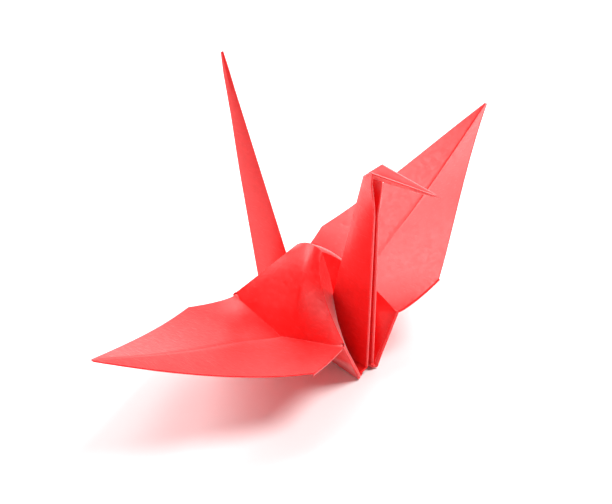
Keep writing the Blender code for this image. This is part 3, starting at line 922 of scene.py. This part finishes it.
def root_place(side, end, share, layer):
    """On the side wall just under the hinge, where the wing's lower layers end."""
    up = petal_y + (knee_y - petal_y) * share - SHEET_LAP
    return wall_point(side, end, share * narrow * up, up, layer)


def wing_under(side, end):
    """One half of the wing's lower layer, ending at the wing's centre slit."""
    rows = []
    for up in wing_stations():
        w = half_width(up)
        xs = [min(SLIT, w * SLIT_WIDTH_SHARE)] + [w * m for m in WIDTH_SHARES]
        rows.append([wing_point(side, end * x, up, UNDER_LAYER) for x in xs])
    rows.append([root_place(side, end, share, WING_UNDER_LAYER) for share in ROOT_SHARES])
    return rows


def flap_rows(side, end, layer, below):
    """A narrowed corner under the wing, from the hinge to near the wing's widest place."""
    knee_x = narrow * knee_y
    wide_x = half_width(wide_y)
    rows = []
    if below:
        row = []
        for k in range(FLAP_STEPS + 1):
            share = BASE_INNER_SHARE + (1.0 - BASE_INNER_SHARE) * k / FLAP_STEPS
            row.append(root_place(side, end, share, FLAP_LAYER))
        rows.append(row)
    for n in range(FLAP_ROWS + 1):
        t = FLAP_END_SHARE * n / FLAP_ROWS
        a = flap_x + (wide_x - flap_x) * t
        b = knee_x + (wide_x - knee_x) * t
        up = knee_y + (wide_y - knee_y) * t
        xs = [a + (b - a) * k / FLAP_STEPS for k in range(FLAP_STEPS + 1)]
        rows.append([wing_point(side, end * x, up, layer) for x in xs])
    return rows


def hem(name, points, layers_from, layers_to, place):
    """A folded edge that holds several layers together: a bar with a rounded outside."""
    half = (layers_to - layers_from) / 2.0
    middle = (layers_to + layers_from) / 2.0
    angles = [-pi / 2.0 + pi * k / HEM_STEPS for k in range(HEM_STEPS + 1)]
    rings = []
    for p in points:
        ring = [place(p, middle + half * sin(a), half * HEM_ROUND_SHARE * cos(a)) for a in angles]
        rings.append(ring)
    return bar(name, rings)


def wing_edge(side, end, pieces):
    """The wing's outer fold: two layers out to the tip, four where the corner is folded under."""
    thick = PAPER / PITCH / 2.0

    def place(up, layer, out):
        x = end * (half_width(up) - HEM_INSET + out * PITCH)
        return wing_point(side, x, up, layer)

    ups = wing_stations()
    widest = len(WING_OUTER_SHARES)
    free = [wide_y + (wing_tip_y - wide_y) * WING_EDGE_END_SHARE] + ups[1:widest + 1]
    pieces.append(hem("wing_edge", free, -thick, UNDER_LAYER + thick, place))
    rooted = ups[widest:-1] + [knee_y + PITCH]
    pieces.append(hem("wing_corner_edge", rooted, -thick, LOWER_FLAP_LAYER + thick, place))


# The paper's material
def link(tree, source, out, target, into):
    tree.links.new(source.outputs[out], target.inputs[into])


def paper_noise(tree, place, stretch, turn, scale, detail):
    """Noise over the object's own coordinates, drawn out along one turned axis for fibres."""
    mapping = tree.nodes.new("ShaderNodeMapping")
    mapping.inputs["Rotation"].default_value = turn
    mapping.inputs["Scale"].default_value = stretch
    noise = tree.nodes.new("ShaderNodeTexNoise")
    noise.inputs["Scale"].default_value = scale
    noise.inputs["Detail"].default_value = detail
    noise.inputs["Roughness"].default_value = NOISE_ROUGHNESS
    link(tree, place, "Object", mapping, "Vector")
    link(tree, mapping, "Vector", noise, "Vector")
    return noise


def ranged(tree, source, out, low, high, to_low, to_high):
    """Eases one value's range into another."""
    node = tree.nodes.new("ShaderNodeMapRange")
    node.interpolation_type = 'SMOOTHSTEP'
    node.inputs["From Min"].default_value = low
    node.inputs["From Max"].default_value = high
    node.inputs["To Min"].default_value = to_low
    node.inputs["To Max"].default_value = to_high
    link(tree, source, out, node, "Value")
    return node


def combined(tree, operation, first, first_out, second, second_out):
    """One value out of two, by a named operation."""
    node = tree.nodes.new("ShaderNodeMath")
    node.operation = operation
    link(tree, first, first_out, node, 0)
    link(tree, second, second_out, node, 1)
    return node


def tinted(tree, share, below, above):
    """Mixes the colour that comes from `below` towards `above` by the share."""
    node = tree.nodes.new("ShaderNodeMix")
    node.data_type = 'RGBA'
    link(tree, share, "Result", node, "Factor")
    if isinstance(below, tuple):
        node.inputs[MIX_A].default_value = below
    else:
        link(tree, below, MIX_RESULT, node, MIX_A)
    node.inputs[MIX_B].default_value = above
    return node


def red_paper():
    """Thin red paper: mottled pulp, a few long fibres, paler where it is folded, and a painted
    highlight on the head's upward faces.
    """
    material = bpy.data.materials.new("red_paper_look")
    material.use_nodes = True
    tree = material.node_tree
    shader = tree.nodes["Principled BSDF"]
    place = tree.nodes.new("ShaderNodeTexCoord")

    grain = paper_noise(tree, place, EVEN, UNTURNED, GRAIN_SCALE, GRAIN_DETAIL)
    cloud = paper_noise(tree, place, EVEN, UNTURNED, CLOUD_SCALE, CLOUD_DETAIL)
    fibres = []
    for turn in FIBRE_TURNS:
        noise = paper_noise(tree, place, FIBRE_STRETCH, turn, FIBRE_SCALE, FIBRE_DETAIL)
        fibres.append(ranged(tree, noise, "Fac", FIBRE_FROM, FIBRE_TO, 0.0, 1.0))
    threads = combined(tree, 'MAXIMUM', fibres[0], "Result", fibres[1], "Result")
    threads = combined(tree, 'MAXIMUM', threads, "Value", fibres[2], "Result")

    grain_share = ranged(tree, grain, "Fac", GRAIN_LOW, GRAIN_HIGH, 0.0, 1.0)
    cloud_share = ranged(tree, cloud, "Fac", CLOUD_LOW, CLOUD_HIGH, 0.0, CLOUD_SHARE)
    thread_share = ranged(tree, threads, "Value", 0.0, 1.0, 0.0, THREAD_SHARE)
    colour = tinted(tree, grain_share, DEEP_RED, PAPER_RED)
    colour = tinted(tree, cloud_share, colour, FADED_RED)
    colour = tinted(tree, thread_share, colour, THREAD_RED)

    worn = tree.nodes.new("ShaderNodeAttribute")
    worn.attribute_name = WEAR_LAYER
    worn_share = ranged(tree, worn, "Fac", WEAR_FROM, 1.0, 0.0, WEAR_SHARE)
    patch = ranged(tree, cloud, "Fac", PATCH_LOW, PATCH_HIGH, PATCH_LEAST_SHARE, 1.0)
    worn_patch = combined(tree, 'MULTIPLY', worn_share, "Result", patch, "Result")
    worn_final = ranged(tree, worn_patch, "Value", 0.0, 1.0, 0.0, 1.0)
    colour = tinted(tree, worn_final, colour, WORN_RED)

    # Painted highlight: paler red mixed in on the head's upward-facing faces, standing in for lamp
    # light
    painted_highlight = tree.nodes.new("ShaderNodeAttribute")
    painted_highlight.attribute_name = PAINTED_HIGHLIGHT_LAYER
    facing = tree.nodes.new("ShaderNodeNewGeometry")
    split = tree.nodes.new("ShaderNodeSeparateXYZ")
    link(tree, facing, "Normal", split, "Vector")
    upward = ranged(tree, split, "Z", UPWARD_LOW, UPWARD_HIGH, 0.0, PAINTED_HIGHLIGHT_SHARE)
    highlight_up = combined(tree, 'MULTIPLY', painted_highlight, "Fac", upward, "Result")
    highlight_share = ranged(tree, highlight_up, "Value", 0.0, 1.0, 0.0, 1.0)
    colour = tinted(tree, highlight_share, colour, PAINTED_HIGHLIGHT_RED)
    link(tree, colour, MIX_RESULT, shader, "Base Color")

    rough = ranged(tree, grain, "Fac", ROUGH_FROM, ROUGH_TO, ROUGH_HIGH, ROUGH_LOW)
    link(tree, rough, "Result", shader, "Roughness")

    height = combined(tree, 'ADD', grain_share, "Result", threads, "Value")
    bump = tree.nodes.new("ShaderNodeBump")
    bump.inputs["Strength"].default_value = BUMP_STRENGTH
    bump.inputs["Distance"].default_value = BUMP_DEPTH
    link(tree, height, "Value", bump, "Height")
    link(tree, bump, "Normal", shader, "Normal")

    shader.inputs["Specular IOR Level"].default_value = SPECULAR_LEVEL
    shader.inputs["Sheen Weight"].default_value = SHEEN_WEIGHT
    shader.inputs["Sheen Tint"].default_value = SHEEN_TINT
    shader.inputs["Sheen Roughness"].default_value = SHEEN_ROUGHNESS
    return material


def mark_wear_and_highlight(mesh):
    """Marks folded and cut edges, for paler worn edges, and the upper part of the head, for a
    painted highlight.
    """
    layer = mesh.attributes.new(WEAR_LAYER, 'FLOAT', 'POINT')
    work = bmesh.new()
    work.from_mesh(mesh)
    work.verts.ensure_lookup_table()
    values = [0.0] * len(mesh.vertices)
    for edge in work.edges:
        if len(edge.link_faces) == 2 and edge.calc_face_angle(0.0) > WEAR_ANGLE:
            for point in edge.verts:
                values[point.index] = 1.0
    work.free()
    layer.data.foreach_set("value", values)
    # Painted highlight mask: rises over the head's upper part
    painted_highlight = mesh.attributes.new(PAINTED_HIGHLIGHT_LAYER, 'FLOAT', 'POINT')
    shares = []
    for point in mesh.vertices:
        rise = (point.co.z - PAINTED_HIGHLIGHT_FROM.z) / PAINTED_HIGHLIGHT_RISE if point.co.x > PAINTED_HIGHLIGHT_FROM.x else 0.0
        shares.append(max(0.0, min(1.0, rise)))
    painted_highlight.data.foreach_set("value", shares)


def crane_pieces():
    """Every sheet, fold bead and hem of the crane."""
    pieces = [sheet("back", back_rows(PANEL_LEVELS, PANEL_STEPS))]
    for end in (HEAD, TAIL):
        for side in (NEAR, FAR):
            pieces.append(sheet("skin", skin_rows(side, end)))
            ridge = [ridge_point(side, end, k / RIDGE_STEPS) for k in range(1, RIDGE_STEPS + 1)]
            pieces.append(bead("ridge", ridge))
        spine = [row[0] for row in skin_rows(NEAR, end)]
        clean = [spine[0]]
        for p in spine[1:]:
            if (p - clean[-1]).length > PAPER:
                clean.append(p)
        pieces.append(bead("spine", clean, SPINE_BEAD))
    for side in (NEAR, FAR):
        top = wing_top(side)
        pieces.append(sheet("wing_top", top))
        pieces.append(bead("belly_wing", top[-1], BELLY_BEAD))
        for end in (HEAD, TAIL):
            pieces.append(sheet("wrap", wrap_rows(side, end)))
            pieces.append(sheet("wing_under", wing_under(side, end)))
            pieces.append(sheet("flap", flap_rows(side, end, UPPER_FLAP_LAYER, True)))
            pieces.append(sheet("flap_low", flap_rows(side, end, LOWER_FLAP_LAYER, False)))
            wing_edge(side, end, pieces)
    beak_sheets(pieces)
    return pieces


def one_piece(pieces):
    """Joins the pieces into one object, smooth but for its sharp folds."""
    bm = bmesh.new()
    for item in pieces:
        bm.from_mesh(item.data)
        bpy.data.objects.remove(item, do_unlink=True)
    for face in bm.faces:
        face.smooth = True
    for edge in bm.edges:
        edge.smooth = edge.is_manifold and edge.calc_face_angle(pi) < SHARP
    mesh = bpy.data.meshes.new("crane_paper")
    bm.to_mesh(mesh)
    bm.free()
    mesh.transform(Matrix.Translation(MODEL_SHIFT))
    return object_from(mesh, "crane_paper")


def main():
    """The whole scene: camera, world, lamps, table and crane."""
    bpy.context.scene.view_settings.view_transform = 'Standard'
    add_camera()
    add_world()
    for lamp in LAMPS:
        add_lamp(*lamp)
    add_floor()
    crane = one_piece(crane_pieces())
    crane.data.materials.clear()
    crane.data.materials.append(red_paper())
    for face in crane.data.polygons:
        face.material_index = 0
    mark_wear_and_highlight(crane.data)
    print("triangles", sum(len(p.vertices) - 2 for p in crane.data.polygons))
    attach(crane, "root")
    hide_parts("crane")


main()
